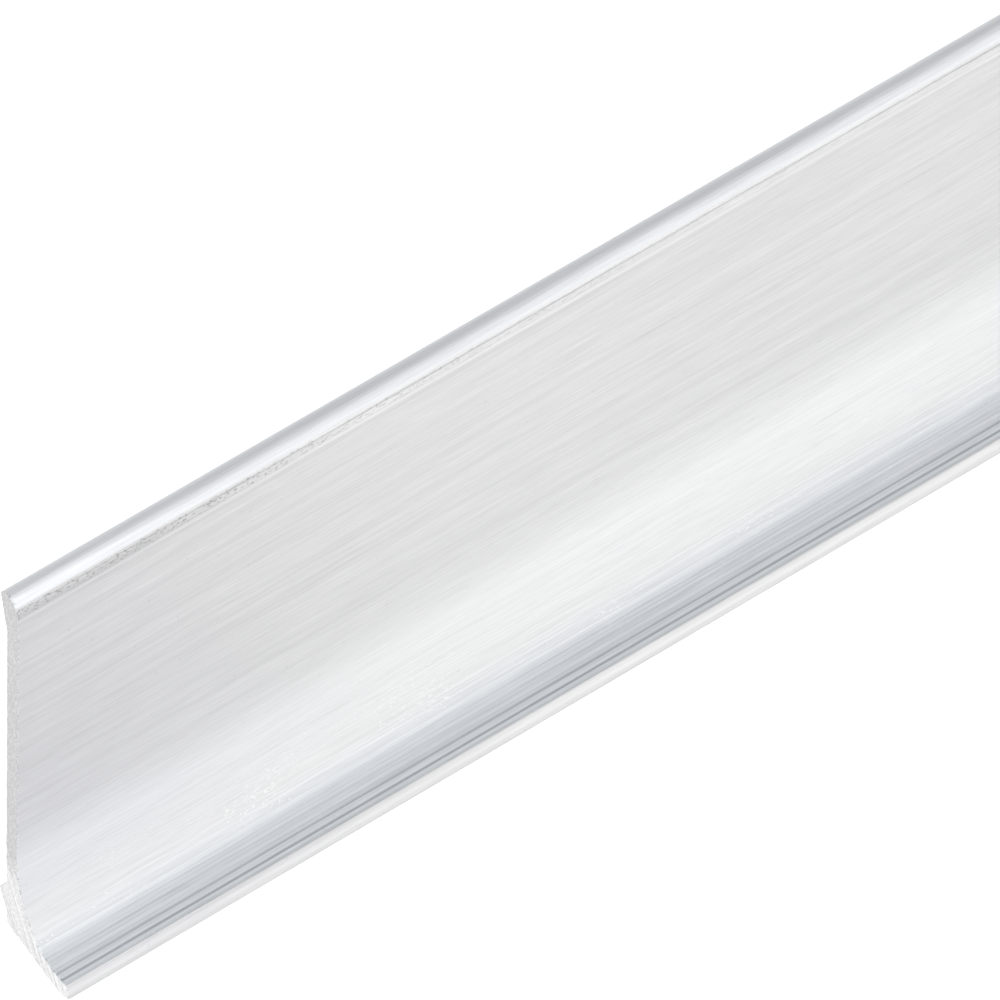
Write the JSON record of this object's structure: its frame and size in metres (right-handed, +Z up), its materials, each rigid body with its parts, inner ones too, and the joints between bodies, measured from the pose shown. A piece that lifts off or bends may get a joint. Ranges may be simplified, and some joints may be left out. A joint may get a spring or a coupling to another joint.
{
  "type": "aluminium skirting profile",
  "caption": "Straight length of mill-finish aluminium skirting extrusion: thin upright web, round bead on top, coved foot with a raised toe and a nib behind.",
  "frame": {"origin": "middle of the box's bottom face, on the floor", "axes": "+X along the length, +Y towards the wall, square to the web, +Z up from the flat underside of the foot to the bead"},
  "size_m": [2, 0.0106, 0.06],
  "materials": {
    "mill_aluminium": "mill finish, as extruded, with fine lines along the length"
  },
  "bodies": {
    "root": {"skirting_profile": "mill_aluminium"}
  },
  "joints": []
}
